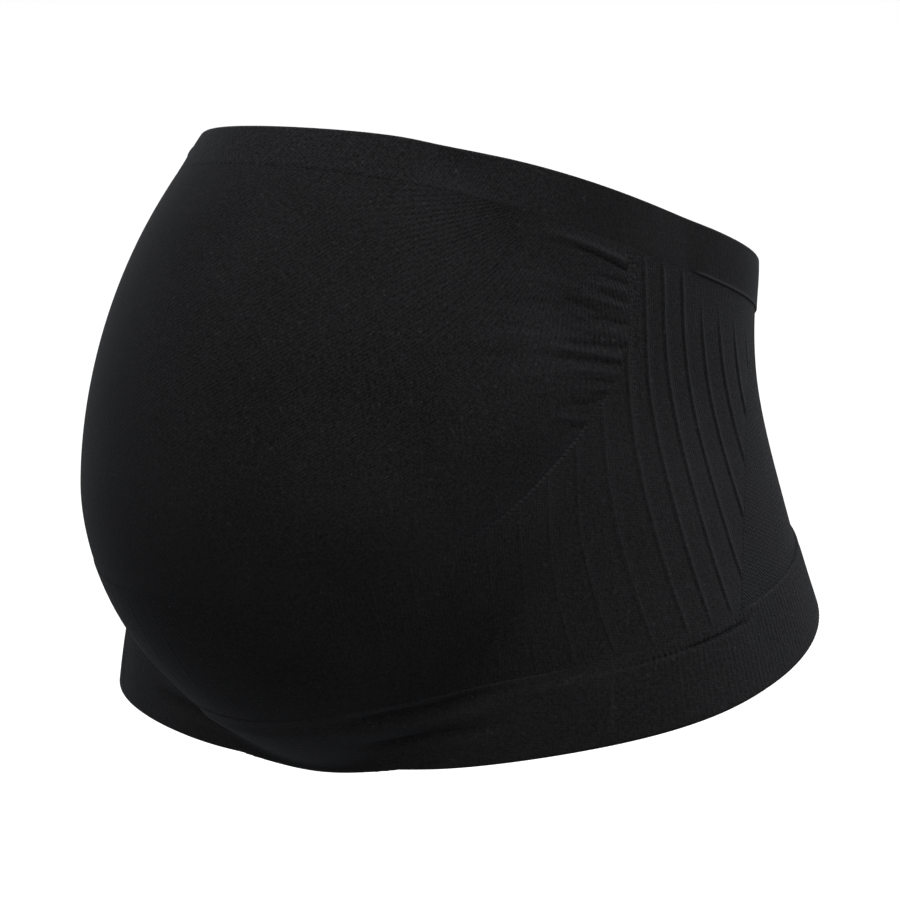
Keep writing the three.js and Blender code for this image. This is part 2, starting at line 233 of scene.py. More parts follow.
def upper_seam(turn):
    return top_edge(turn) - UPPER_WELT * edge(turn, "upper")


def lower_seam(turn):
    return hem_edge(turn) + LOWER_WELT * edge(turn, "lower")


def cup_height(turn):
    return FRONT_HEIGHT * along(CUP, "turn", np.abs(turn) / CUP_TURN, "up", (0,))


def mesh_height(turn):
    """The mesh zone's slanting front edge."""
    share = np.clip((np.abs(turn) - MESH_LOW_TURN) / (MESH_HIGH_TURN - MESH_LOW_TURN), 0, 1)
    return lerp(lower_seam(turn), upper_seam(turn), share)


def ripple(turn, height, pitch, seed):
    """Slow, uneven waves, the same each run: how far worn knit strays from a perfect form."""
    random = np.random.default_rng(seed)
    total = 0
    for _ in range(RIPPLE_WAVES):
        count = random.integers(2, 7)
        phase = random.uniform(0, 2 * math.pi, 2)
        slope = random.uniform(-1, 1)
        across = np.sin(np.radians(turn) * count + phase[0] + slope * height / pitch)
        total = total + across * np.sin(height / pitch * random.uniform(0.6, 1.4) + phase[1])
    return total / RIPPLE_WAVES


def lapped(rows, low_lap, high_lap):
    """Row shares with doubled ends: where a wall steps down to the lap behind its neighbour."""
    share = np.linspace(0, 1, rows + 1)
    step = np.zeros(rows + 1)
    if low_lap:
        share = np.concatenate([[0, 0], share])
        step = np.concatenate([[-2, -1], step])
    if high_lap:
        share = np.concatenate([share, [1, 1]])
        step = np.concatenate([step, [1, 2]])
    return share[None, :], step[None, :]


def stepped(step):
    """How far a lap's rows lie below or above the wall's own end."""
    steps = [step == -2, step == -1, step == 1, step == 2]
    return np.select(steps, [-LAP - 2 * SEAM, -SEAM, SEAM, LAP + 2 * SEAM], 0)


class Cloth:
    """A wall of cloth under construction: grids of four-cornered cells that share corners.

    Each corner has its place, its stands at face and back, its wale and course in millimetres,
    a tone (how much lighter or darker it is drawn: the yarn's own tone, and painted light and
    shade), a grain, and a cycle and strength of strain.
    """

    def __init__(self):
        self.grids = []

    def add(self, turn, height, face, back, wale, course, tone=0, grain=0, cycle=0, strain=0):
        parts = (turn, height, face, back, wale, course, tone, grain, cycle, strain)
        self.grids.append(np.stack(np.broadcast_arrays(*parts), -1).astype(float))

    def build(self, name):
        corners = np.concatenate([grid.reshape(-1, grid.shape[-1]) for grid in self.grids])
        key = np.round(corners[:, :2] * CORNER_ROUNDING).astype(np.int64)
        _, first, which = np.unique(key, axis=0, return_index=True, return_inverse=True)
        which = which.reshape(-1)
        cells, start = [], 0
        for grid in self.grids:
            columns, rows = grid.shape[:2]
            at = start + np.arange(columns * rows).reshape(columns, rows)
            quad = np.stack([at[:-1, :-1], at[1:, :-1], at[1:, 1:], at[:-1, 1:]], -1)
            cells.append(which[quad.reshape(-1, 4)])
            start += columns * rows
        cells = np.concatenate(cells)
        cells = cells[(cells != np.roll(cells, 1, 1)).sum(1) > 2]
        turn, height, face, back = corners[first, :4].T
        base, normal = skin(turn, height), normals(turn, height)
        outer = base + normal * face[:, None]
        inner = base + normal * back[:, None]
        count = len(outer)
        ends = np.stack([cells, np.roll(cells, -1, 1)], -1).reshape(-1, 2)
        ends = ends[ends[:, 0] != ends[:, 1]]
        there, back_again = ends[:, 0] * count + ends[:, 1], ends[:, 1] * count + ends[:, 0]
        rim = ends[~np.isin(there, back_again)]
        walls = np.stack([rim[:, 1], rim[:, 0], rim[:, 0] + count, rim[:, 1] + count], -1)
        faces = np.concatenate([cells, cells[:, ::-1] + count, walls])
        marks = np.concatenate([corners[first, 4:], corners[first, 4:]])
        return make_object(name, np.concatenate([outer, inner]), faces, marks[faces])


def ring(name, turns, profile):
    """A closed ring of cloth from the heights, stands, tones and grains of a section."""
    columns = []
    marks = []
    for turn in turns:
        height, stand, tone, grain = profile(turn)
        at = np.full_like(height, turn)
        columns.append(skin(at, height) + normals(at, height) * stand[:, None])
        mark = np.broadcast_arrays(WALE_DEGREES * at, height / MM, tone, grain, 0, 0)
        marks.append(np.stack(mark, -1))
    points = np.array(columns)
    count, rows = points.shape[:2]
    here, up = np.meshgrid(np.arange(count), np.arange(rows), indexing="ij")
    after, above = (here + 1) % count, (up + 1) % rows
    faces = np.stack([here, after, after, here], -1) * rows + np.stack([up, up, above, above], -1)
    marks = np.array(marks).reshape(count * rows, -1)
    places = marks[faces]
    places[count - 1, :, 1:3, 0] += WALE_DEGREES * 360
    faces = faces.reshape(-1, 4)
    return make_object(name, points.reshape(-1, 3), faces, places.reshape(*faces.shape, -1))


def make_object(name, points, faces, marks):
    """A smooth mesh; a face whose corners coincide loses them and turns into a triangle."""
    kept = faces != np.roll(faces, 1, 1)
    sizes = kept.sum(1)
    loops = faces[kept]
    starts = np.concatenate([[0], np.cumsum(sizes)])
    mesh = bpy.data.meshes.new(name)
    polygons = [loops[start:end].tolist() for start, end in zip(starts[:-1], starts[1:])]
    mesh.from_pydata(points.tolist(), [], polygons)
    mesh.polygons.foreach_set("use_smooth", np.ones(len(mesh.polygons), bool))
    for column, title in enumerate(("knit", "mark", "strain")):
        layer = mesh.uv_layers.new(name=title)
        pair = marks[:, :, 2 * column:2 * column + 2][kept]
        layer.data.foreach_set("uv", pair.astype(np.float32).ravel())
    mesh.set_sharp_from_angle(angle=math.radians(SHARP_ANGLE))
    piece = bpy.data.objects.new(name, mesh)
    bpy.context.scene.collection.objects.link(piece)
    return piece


# Ribs of the support zone, as turns at the upper end. One stands on the upright seam
RIB_TURNS = [0, 5.1, 10.2, 15.3, 20.4, 25.6, 30.8, 36.0, 41.4, 46.8, 52.2, 57.9, 63.7,
             69.6, 74.1, 78.7, 83.9, 89.4, 94.8, 100.1, 105.4]
RIB_PITCH = 5.2
RIB_WIDTH = 0.7 * MM
RIB_STAND = 0.6 * MM
# A painted highlight on each rib, and painted shade in the groove in front of it
RIB_PAINTED_HIGHLIGHT = 0.12
GROOVE_PLACE = 1.9 * RIB_WIDTH  # each rib has a fine groove on its front side
GROOVE_WIDTH = 0.9 * RIB_WIDTH
GROOVE_DEPTH = 0.35 * MM
GROOVE_PAINTED_SHADE = 0.06
RIB_TOP_FADE = 7 * MM
RIB_FOOT_FADE = 3 * MM
FADING_TURN = 87  # the ribs behind this turn rise out of the knit lower down
FADING_RISE = (6.5 * MM, 26 * MM)
RIB_CLEARNESS = ([0, 40, 62, 76, 100, 106], [0.12, 0.18, 0.6, 0.9, 0.9, 0.4])
# Columns of the zone's grid: close together on each rib, and in shares of the way to the next
RIB_OFFSETS = [-0.75, -0.52, -0.34, -0.2, -0.06, 0.08, 0.24, 0.42]
BETWEEN_RIBS = (0.24, 0.38, 0.5, 0.62, 0.74)
REAR_COLUMNS = 8
COLUMN_MARGIN = 0.05
UNDER_ROWS = 70
SIDE_ROWS = 34
# The ribs run down upright to a level and then lean towards the back
RIB_LEAN = 5.3
LEAN_FROM = ([0, 58, 69, 79, 120], [0.43, 0.43, 0.53, 0.72, 0.74])
LEAN_RISE = (0, 60)
LEAN_FALL = (92, 20)
LEAN_POWER = 1.5
LEAN_LIMIT = 1.2
LEAN_PASSES = 6
# Slow waves, and how the back of the wall keeps clear of the laps behind it
SUPPORT_SAG = 0.25 * MM
SUPPORT_SAG_PITCH = 30 * MM
BACK_CLEARANCE = 0.3 * MM
# A strip of livelier knit behind the upright seam, and light dots along the cup's edge
STRIP = (2.0, 2.6)
STRIP_RISE = (150 * MM, 60 * MM)
STRIP_LIGHT = 0.05
SUPPORT_GRAIN = 0.25
STRIP_GRAIN = 0.5
DOT_LINE = (0.9 * MM, 0.9 * MM)
DOT_RISE = (36, 16)
DOT_PITCH = 2.1 * MM
DOT_SLANT = 0.3


def leaned(column, height):
    turn = np.abs(column)
    start = FRONT_HEIGHT * np.interp(turn, *LEAN_FROM)
    share = np.clip((start - height) / (start - lower_seam(turn)), 0, LEAN_LIMIT)
    lean = RIB_LEAN * rise(turn, *LEAN_RISE) * fall(turn, *LEAN_FALL) * share**LEAN_POWER
    return np.sign(column) * (turn + lean)


def rib_relief(column, turn, height, low, high):
    """Relief of the narrow raised ribs, and their tone: a painted highlight on each rib and
    painted shade in its groove.
    """
    relief, tone = 0, 0
    for rib in RIB_TURNS:
        for side in (-1, 1) if rib else (1,):
            away = side * arc(column - side * rib, turn, height)
            fade = rise(high - height, 0, RIB_TOP_FADE) * rise(height - low, 0, RIB_FOOT_FADE)
            if rib > FADING_TURN:
                fade = fade * rise(high - height, *FADING_RISE)
            fade = fade * np.interp(rib, *RIB_CLEARNESS)
            ridge = hump(away, 0, RIB_WIDTH) * fade
            groove = hump(away, -GROOVE_PLACE, GROOVE_WIDTH) * fade
            relief = relief + RIB_STAND * ridge - GROOVE_DEPTH * groove
            # Painted highlight on the ridge, painted shade in the groove
            tone = tone + RIB_PAINTED_HIGHLIGHT * ridge - GROOVE_PAINTED_SHADE * groove
    return relief, tone


def rib_columns():
    ribs = sorted({-rib for rib in RIB_TURNS} | set(RIB_TURNS))
    columns = [0]
    for left, right in zip(ribs, ribs[1:] + [ribs[-1] + RIB_PITCH]):
        side = 1 if left >= 0 else -1
        columns += [left + side * offset for offset in RIB_OFFSETS]
        columns += [lerp(left, right, share) for share in BETWEEN_RIBS]
    kept = [c for c in columns if abs(c) < MESH_HIGH_TURN - 1
            and abs(abs(c) - CUP_TURN) > COLUMN_MARGIN]
    ends = [CUP_TURN, *np.linspace(max(kept), LAST_TURN, REAR_COLUMNS + 1)[1:]]
    ends += [-end for end in ends]
    ends += [-column for column in kept if column > -min(kept) + 4 * COLUMN_MARGIN]
    return np.array(sorted(kept + ends))


def corner_level(turn):
    """The level between the support zone's two grids: the cup edge, then on to the mesh edge."""
    low, high = lower_seam(CUP_TURN), upper_seam(CUP_TURN)
    share = (cup_height(CUP_TURN) - low) / (high - low)
    beside = lerp(mesh_height(turn), upper_seam(turn), share)
    return np.where(np.abs(turn) < CUP_TURN, cup_height(turn), beside)


def make_support_panel():
    cloth = Cloth()

    def add(columns, bottom, top, share, step):
        column = columns[:, None] + 0 * share
        turn = column
        for _ in range(LEAN_PASSES):
            height = lerp(bottom(turn), top(turn), share)
            turn = np.clip(leaned(column, height), -LAST_TURN, LAST_TURN)
        side = np.abs(turn)
        roof = np.where(np.abs(column) < CUP_TURN, cup_height(turn), upper_seam(turn))
        relief, tone = rib_relief(column, turn, height, mesh_height(turn), roof)
        inside = np.minimum(height - mesh_height(turn), roof - height)
        sag = SUPPORT_SAG * ripple(turn, height, SUPPORT_SAG_PITCH, 3)
        sag = sag * rise(inside, 0, SAG_MARGIN)
        in_lap = (step != 0) & ((step > 0) | (side < MESH_LOW_TURN))
        height = height + stepped(step) * np.where((step < 0) & (side > MESH_LOW_TURN), 0, 1)
        from_cup = np.where(
            np.abs(column) < CUP_TURN + TINY, cup_height(turn) - height,
            arc(side - CUP_TURN, turn, height))
        from_mesh = np.where(side > MESH_LOW_TURN, height - mesh_height(turn), 1)
        over_cup_lap = (from_cup < LAP + SEAM) & (height > cup_height(0) - LAP)
        over_lap = over_cup_lap | (from_mesh < MESH_LAP)
        face = np.where(in_lap, LAP_FACE, SUPPORT_WALL + relief + sag)
        back = np.minimum(sag, LAP_FACE - BACK_CLEARANCE)
        back = np.where(over_lap & ~in_lap, LAP_BACK, back)
        strip = hump(side - CUP_TURN, *STRIP) * rise(height, *STRIP_RISE)
        dots = hump(from_cup, *DOT_LINE) * rise(side, *DOT_RISE)
        cycle = (height + DOT_SLANT * np.abs(column) * MM * WALE_DEGREES) / DOT_PITCH
        cloth.add(turn, height, face, back, WALE_DEGREES * column, height / MM,
                  tone + STRIP_LIGHT * strip, SUPPORT_GRAIN + STRIP_GRAIN * strip, cycle, dots)

    columns = rib_columns()
    share, step = lapped(UNDER_ROWS, True, False)
    add(columns, lambda turn: mesh_height(turn) + SEAM, corner_level, share, step)
    for side in (-1, 1):
        beside = columns[columns * side >= CUP_TURN - TINY]
        share, step = lapped(SIDE_ROWS, False, True)
        add(beside, corner_level, lambda turn: upper_seam(turn) - 2 * SEAM, share, step)
    return cloth.build("support_panel_knit")


# Gathers of the bump panel: strokes from one place to another as turns and millimetres up, how
# far they bow upwards, their depth (a ridge's is positive) and half width in millimetres
GATHERS = [
    (50.0, 238.9, 69.6, 223.6, 2.0, -0.5, 1.3),
    (51.0, 242.0, 69.4, 227.2, 1.8, 1.5, 1.7),
    (57.5, 235.2, 69.8, 223.2, 1.3, -1.3, 0.45),
    (62.5, 222.3, 69.5, 217.6, 0.4, -1.0, 1.1),
    (61.0, 218.6, 69.5, 214.0, 0.5, 0.7, 1.6),
    (63.0, 214.6, 69.3, 209.6, 0.4, -0.8, 1.2),
    (55.0, 212.8, 63.0, 206.4, 0.6, -1.0, 1.4),
    (59.0, 213.2, 68.5, 207.6, 0.5, 0.9, 1.4),
    (56.0, 208.2, 61.0, 203.6, 0.2, 0.7, 1.2),
    (60.0, 203.6, 69.6, 199.8, 0.6, -0.9, 1.2),
    (43.0, 202.6, 52.5, 196.4, 0.8, -0.6, 1.0),
    (57.0, 199.6, 68.8, 195.0, 0.6, 0.7, 1.7),
    (55.0, 192.6, 69.0, 189.8, 0.6, -1.1, 1.3),
    (50.0, 192.0, 66.5, 185.8, 0.7, 1.1, 1.5),
    (51.5, 187.2, 68.0, 182.4, 0.6, -1.1, 1.3),
    (55.0, 182.0, 67.0, 178.4, 0.5, 0.7, 1.5),
    (59.5, 176.6, 66.6, 174.2, 0.3, -0.8, 1.1),
    (58.0, 172.8, 66.0, 171.4, 0.2, 0.6, 1.1),
    (60.5, 170.4, 65.6, 169.6, 0.1, -0.7, 1.0),
    (53.5, 165.2, 64.8, 166.9, 0.3, -0.9, 1.2),
    (51.0, 161.8, 60.5, 158.6, 0.4, 0.8, 1.3),
    (54.0, 157.2, 61.8, 155.4, 0.2, -0.8, 1.1),
    (54.0, 151.5, 60.5, 150.4, 0.1, 0.4, 1.4),
    (40.0, 223.0, 62.0, 214.0, 2.5, 0.6, 2.6),
    (38.0, 212.0, 58.0, 207.0, 2.0, -0.6, 2.2),
    (36.0, 196.0, 60.0, 194.0, 1.5, 0.6, 2.6),
    (38.0, 188.0, 56.0, 187.0, 1.5, -0.5, 2.2),
    (40.0, 178.0, 62.0, 180.0, 1.0, 0.5, 2.6),
]
GATHER_DEPTH = 0.62
# Painted shade in the folds and painted highlight on the ridges, by each stroke's depth
GATHER_PAINTED_LIGHT_AND_SHADE = 0.065
GATHER_POWER = 1.6
GATHER_RISE = (0, 0.45)  # along the stroke
GATHER_FALL = (1.0, 0.12)
# The panel puffs out beside the seam, between two levels
PUFF = 0.8 * MM
PUFF_TURNS = 6
PUFF_RISE = (0.5, 0.08)
PUFF_FALL = (0.8, 0.06)
# The wales are strained into a fan that spreads down from the upper band
FAN_TURN = 62
FAN_HEIGHT = 258 * MM
FAN_REACH = 0.125  # about how far the cloth is from the axis there
FAN_WALES = 185
FAN_RISE = (20 * MM, 30 * MM)
FAN_FALL = (50 * MM, 60 * MM)
# The panel's grid: columns crowd together towards the seams
PANEL_COLUMNS = 236
PANEL_ROWS = 190
CROWDING = 0.12
PANEL_SAG = 0.3 * MM
PANEL_SAG_PITCH = 40 * MM
GATHER_MARGIN = 6 * MM
GATHER_LINE_POINTS = 141
SEAM_LINE_POINTS = 281
SIDE_LAP_FALL = (0.985, 0.01)
# Its grain, and its shades: a tone, then a hump over turns and one over heights
PANEL_GRAIN = 0.12
FRONT_GRAIN = 0.3
FRONT_GRAIN_RISES = ((-20, 40), (120 * MM, 70 * MM))
CUP_GRAIN = 0.2
CUP_GRAIN_HUMPS = ((30, 16), (140 * MM, 38 * MM))
# Painted light that lifts the shade high on the panel towards the upright seam
GATHERED_PAINTED_LIGHT = 0.09
GATHERED_RISES = ((42, 12), (165 * MM, 30 * MM))
PANEL_SHADES = [
    (-0.05, 48, 15, 145 * MM, 28 * MM),
    (-0.04, 42, 14, 178 * MM, 22 * MM),
    (0.04, 0, 28, 84 * MM, 26 * MM),
]


def gather_relief(turn, height):
    """Relief of the puffs and sharp folds that run in from the upright seam, with painted shade in
    the folds and a painted highlight on the ridges.
    """
    side = np.abs(turn)
    line = np.linspace(0, CUP_TURN, GATHER_LINE_POINTS)
    edge_turn = np.interp(height, cup_height(line), line)
    inward = np.maximum(edge_turn - side, 0)
    level = height / FRONT_HEIGHT
    relief = PUFF * np.exp(-inward / PUFF_TURNS)
    relief = relief * rise(level, *PUFF_RISE) * fall(level, *PUFF_FALL)
    tone = 0
    for start_turn, start_up, end_turn, end_up, bow, depth, width in GATHERS:
        run = (side - start_turn) / (end_turn - start_turn)
        at = np.clip(run, 0, 1)
        middle = (lerp(start_up, end_up, at) + 4 * bow * at * (1 - at)) * MM
        shape = np.exp(-np.abs((height - middle) / (width * MM)) ** GATHER_POWER)
        shape = shape * rise(run, *GATHER_RISE) * fall(run, *GATHER_FALL)
        relief = relief + GATHER_DEPTH * depth * MM * shape
        # Painted shade in a fold, painted highlight on a ridge
        tone = tone + GATHER_PAINTED_LIGHT_AND_SHADE * depth * shape
    return relief, tone


def fan(turn, height):
    """Cycles of the strained wales, and how clear they are."""
    across = np.radians(np.abs(turn) - FAN_TURN) * FAN_REACH
    down = FAN_HEIGHT - height
    angle = np.arctan2(across, down)
    distance = np.hypot(across, down)
    clear = rise(distance, *FAN_RISE) * fall(distance, *FAN_FALL)
    return angle * FAN_WALES / (2 * math.pi), clear


def make_bump_panel():
    """Its grid runs from the cup's edge to the upper band. It laps behind all its neighbours."""
    cloth = Cloth()
    low_edge = cup_height(CORNER_TURN) + SEAM
    high_edge = upper_seam(CUP_TURN) - 2 * SEAM
    across, side_step = lapped(PANEL_COLUMNS, True, True)
    across = 2 * across.T - 1
    side_step = side_step.T
    across = across + CROWDING * np.sin(math.pi * across)
    share, step = lapped(PANEL_ROWS, True, True)
    side_height = lerp(low_edge, high_edge, share)
    line = np.linspace(0, CUP_TURN, SEAM_LINE_POINTS)
    seam_turn = np.interp(side_height - SEAM, cup_height(line), line)
    seam_turn = seam_turn - np.degrees(SEAM / reach(seam_turn, side_height))

    def shape_of(line, edge_turn):
        return (line(across * edge_turn) - line(0)) / (line(edge_turn) - line(0))

    cup_shape, band_shape = shape_of(cup_height, CORNER_TURN), shape_of(upper_seam, CUP_TURN)
    middle = lerp(cup_height(0) + SEAM, upper_seam(0) - 2 * SEAM, share)
    height = lerp(middle, side_height, lerp(cup_shape, band_shape, rise(share, 0, 1)))
    turn = across * seam_turn
    side = np.abs(turn)
    relief, tone = gather_relief(turn, height)
    from_cup = height - cup_height(np.minimum(side, CUP_TURN))
    inside = np.minimum(from_cup, upper_seam(turn) - height)
    inside = np.minimum(inside, arc(seam_turn - side, turn, height))
    sag = PANEL_SAG * ripple(turn, height, PANEL_SAG_PITCH, 5) * rise(inside, 0, SAG_MARGIN)
    sunk = relief * rise(inside, 0, GATHER_MARGIN)
    in_lap = (step != 0) | (side_step != 0)
    side_lap = np.degrees(stepped(side_step) / reach(turn, height)) * fall(share, *SIDE_LAP_FALL)
    height = height + stepped(step)
    face = np.where(in_lap, LAP_FACE, JERSEY_WALL + relief + sag)
    back = np.where(in_lap, 0, sunk + sag)
    cycle, clear = fan(turn, height)
    over_turns, over_heights = FRONT_GRAIN_RISES
    grain = PANEL_GRAIN + FRONT_GRAIN * rise(turn, *over_turns) * rise(height, *over_heights)
    over_turns, over_heights = CUP_GRAIN_HUMPS
    grain = grain + CUP_GRAIN * hump(side, *over_turns) * hump(height, *over_heights)
    over_turns, over_heights = GATHERED_RISES
    # Painted light high on the panel towards the upright seam
    tone = tone + GATHERED_PAINTED_LIGHT * rise(side, *over_turns) * rise(height, *over_heights)
    for shade, turn_middle, width, level, tall in PANEL_SHADES:
        tone = tone + shade * hump(side, turn_middle, width) * hump(height, level, tall)
    cloth.add(turn + side_lap, height, face, back, WALE_DEGREES * across * CUP_TURN, height / MM,
              tone, grain, cycle, clear)
    return cloth.build("bump_panel_knit")


BACK_COLUMNS = 200
BACK_ROWS = 90
BACK_SAG = 0.3 * MM
BACK_SAG_PITCH = 35 * MM
BACK_CORNER = 0.02  # the side laps fade out in this share of the height at the corners
BACK_GAP = 0.12


def make_back_panel():
    cloth = Cloth()
    across, side_step = lapped(BACK_COLUMNS, True, True)
    across = 2 * across.T - 1
    side_step = side_step.T
    share, step = lapped(BACK_ROWS, True, True)
    edge_turn = lerp(MESH_LOW_TURN, MESH_HIGH_TURN, share) + BACK_GAP
    turn = 180 + across * (180 - edge_turn)
    height = lerp(lower_seam(turn) + 2 * SEAM, upper_seam(turn) - 2 * SEAM, share)
    inside = np.minimum(height - lower_seam(turn), upper_seam(turn) - height)
    from_side = (1 - np.abs(across)) * (180 - edge_turn)
    inside = np.minimum(inside, arc(from_side, turn, height))
    sag = BACK_SAG * ripple(turn, height, BACK_SAG_PITCH, 8) * rise(inside, 0, SAG_MARGIN)
    in_lap = (step != 0) | (side_step != 0)
    side_lap = np.degrees(stepped(side_step) / reach(turn, height))
    side_lap = side_lap * rise(share, 0, BACK_CORNER)
    side_lap = side_lap * fall(share, 1 - 2 * BACK_CORNER, BACK_CORNER)
    height = height + stepped(step)
    face = np.where(in_lap, LAP_FACE, MESH_WALL + sag)
    back = np.where(in_lap, 0, sag)
    cloth.add(turn + side_lap, height, face, back, WALE_DEGREES * turn, height / MM)
    return cloth.build("back_panel_knit")


# Both bands
FINE_RIBS = 396
FACE_ROWS = 38
FACE_CROWDING = 1.25  # the face's rows crowd together towards the seam
INNER_ROWS = 12
ROUND_STEPS = 5
INNER_STEPS = [LAP + 5 * SEAM, 0]  # where the inner face steps out to clear the lap
INNER_END = LAP + 8 * SEAM


def welt_profile(seam, free, thickness, relief, foot_stand, rolled):
    """The closed section of a band that is turned double, from its seam to its fold and back.

    The band stands in front of the neighbouring zone's lap. Gives heights, stands and distances
    from the seam.
    """
    way = 1 if free > seam else -1
    edge_half = thickness(abs(free - seam)) / 2
    share = np.linspace(0, 1, FACE_ROWS + 1) ** FACE_CROWDING
    distance = lerp(0, abs(free - seam) - edge_half, share)
    foot = np.clip(distance / rolled, 0, 1)
    stand = thickness(distance)
    stand = foot_stand + (stand - foot_stand) * np.sqrt(1 - (1 - foot) ** 2)
    stand = stand + relief(seam + way * distance, distance) * foot
    turned = np.linspace(0, math.pi, 2 * ROUND_STEPS + 1)[1:-1]
    fold_distance = distance[-1] + edge_half * np.sin(turned)
    fold_stand = stand[-1] * (1 + np.cos(turned)) / 2
    inner_distance = np.linspace(distance[-1], INNER_END, INNER_ROWS)
    inner_distance = np.append(inner_distance, INNER_STEPS)
    inner_stand = np.append(np.zeros(INNER_ROWS), [LAP_BACK, LAP_BACK])
    away = np.concatenate([distance, fold_distance, inner_distance])
    stand = np.concatenate([stand, fold_stand, inner_stand])
    if way < 0:
        away, stand = away[::-1], stand[::-1]
    return seam + way * away, stand, away


# Upper band. In front its foot is level with the knit below it, and behind it is a ledge
UPPER_STEPS = 1100
PANEL_CHANGE = (66, 6)
UPPER_WALLS = ([25, 50, 85, 95], [WELT_WALL, 1.7 * MM, 1.7 * MM, WELT_WALL])
UPPER_FILL = 20 * MM  # the band reaches its full thickness this far from the seam
UPPER_ROLLED = 0.9 * MM
FLUSH_STAND = 0.04 * MM
LEDGE_STAND = 0.8 * MM
LEDGE_TURNS = (85, 6)
FOOT_SINKS = ([0, 20, 38, 52], [0.06 * MM, 0.12 * MM, 0.12 * MM, 0])
UPPER_RIPPLE = 0.15 * MM
UPPER_RIPPLE_PITCH = 9 * MM
UPPER_RIPPLE_RISE = 4 * MM
# A painted highlight along the ledge, broken into dashes, painted shade along the rest of the
# seam, and tones by turn: an even tone, painted light about the sides' front and painted shade
# towards the back
LEDGE_HIGHLIGHT_DASHES = (0.75, 0.25)
LEDGE_PAINTED_HIGHLIGHT = 0.9
LEDGE_HIGHLIGHT_LINE = (0.9 * MM, 0.5 * MM)
LEDGE_HIGHLIGHT_TURNS = ((87, 3), (112, 8))
SEAM_PAINTED_SHADE = 0.09
SEAM_LINE = (0.4 * MM, 1.0 * MM)
SEAM_TURNS = (44, 16)
UPPER_TONE = 0.03
UPPER_SIDE_PAINTED_LIGHT = 0.11
UPPER_SIDE_TURNS = (47, 14)
UPPER_BACK_PAINTED_SHADE = 0.07
UPPER_BACK_TURNS = (78, 12)
UPPER_GRAINS = (0.6, 0.1)
UPPER_GRAIN_TURNS = (50, 16)


def make_upper_band():

    def profile(turn):
        side = abs(turn)
        panel = lerp(JERSEY_WALL, SUPPORT_WALL, rise(side, *PANEL_CHANGE))
        near = panel + lerp(FLUSH_STAND, LEDGE_STAND, rise(side, *LEDGE_TURNS))
        wall = np.interp(side, *UPPER_WALLS)
        foot_stand = panel - np.interp(side, *FOOT_SINKS)

        def thickness(distance):
            return lerp(near, wall, rise(distance, 0, UPPER_FILL))

        def relief(height, distance):
            waves = ripple(turn, height, UPPER_RIPPLE_PITCH, 21)
            return UPPER_RIPPLE * waves * rise(distance, 0, UPPER_RIPPLE_RISE)

        height, stand, away = welt_profile(
            upper_seam(turn), top_edge(turn), thickness, relief, foot_stand, UPPER_ROLLED)
        begins, ends = LEDGE_HIGHLIGHT_TURNS
        middle, swing = LEDGE_HIGHLIGHT_DASHES
        # A painted highlight along the ledge, broken into dashes
        ledge_highlight = middle + swing * math.cos(math.radians(turn) * FINE_RIBS)
        ledge_highlight = LEDGE_PAINTED_HIGHLIGHT * ledge_highlight * rise(side, *begins) * fall(side, *ends)
        tone = ledge_highlight * hump(away, *LEDGE_HIGHLIGHT_LINE)
        # Painted shade along the seam in front
        tone = tone - SEAM_PAINTED_SHADE * fall(side, *SEAM_TURNS) * hump(away, *SEAM_LINE)
        # An even tone, and painted light about the sides' front
        tone = tone + UPPER_TONE + UPPER_SIDE_PAINTED_LIGHT * hump(side, *UPPER_SIDE_TURNS)
        # Painted shade towards the back, against the rim light there
        tone = tone - UPPER_BACK_PAINTED_SHADE * rise(side, *UPPER_BACK_TURNS)
        return height, stand, tone, lerp(*UPPER_GRAINS, rise(side, *UPPER_GRAIN_TURNS))

    return ring("upper_band_knit", np.linspace(-180, 180, UPPER_STEPS, endpoint=False), profile)


# Folds of the lower band under the bump: share of its height, depth in millimetres and half
# width as a share. They lie about FOLD_TURN
FOLDS = [(0.87, -1.9, 0.075), (0.995, 0.3, 0.05), (0.69, 1.4, 0.09), (0.48, -1.5, 0.07),
         (0.34, 0.6, 0.08)]
FOLD_TURN = 31
FOLD_TURNS = 13
# Painted shade in the folds and painted highlight on their ridges, by each fold's depth
FOLD_PAINTED_LIGHT_AND_SHADE = 0.06
COLUMNS_PER_RIB = 4
FINE_RIB_STANDS = (0.05 * MM, 0.13 * MM)
FINE_RIB_TURNS = (45, 30)
FINE_RIB_SHARES = (0.4, 0.6)  # of that at the hem, and what is added above it
FINE_RIB_RISE = (0, 0.2)
# The band is a ledge over the knit above it, except where it is merged with it at the sides
MERGED_TURNS = ((50, 8), (85, 4))
FRONT_TURNS = (60, 20)
LOWER_STANDS = (2.6 * MM, 2.0 * MM)  # of its foot, behind and in front
LOWER_SINKS = (0.3 * MM, 0.1 * MM)
MERGED_STAND = 0.05 * MM
MERGED_SINK = 0.02 * MM
LOWER_WALL = 2.8 * MM
LOWER_FILL = (3 * MM, 5 * MM)
LOWER_ROLLED = 1.0 * MM
LOWER_RIPPLE = 0.15 * MM
LOWER_RIPPLE_PITCH = 14 * MM
# A groove below the narrow lip at the sides, with painted shade in it, broken into dots in front,
# with a soft ridge below
LIP = 4.9 * MM
LIP_GROOVE = 1.1 * MM
LIP_GROOVE_WIDTH = 0.7 * MM
LIP_RIDGE = 0.3 * MM
LIP_RIDGE_HUMP = (1.8 * MM, 1.2 * MM)
LIP_GROOVE_PAINTED_SHADE = 0.2
LIP_GROOVE_PAINTED_SHADE_WIDTH = 0.8 * MM
LIP_TURNS = ((58, 10), (84, 4))
DOTTED_TURNS = (72, 4)
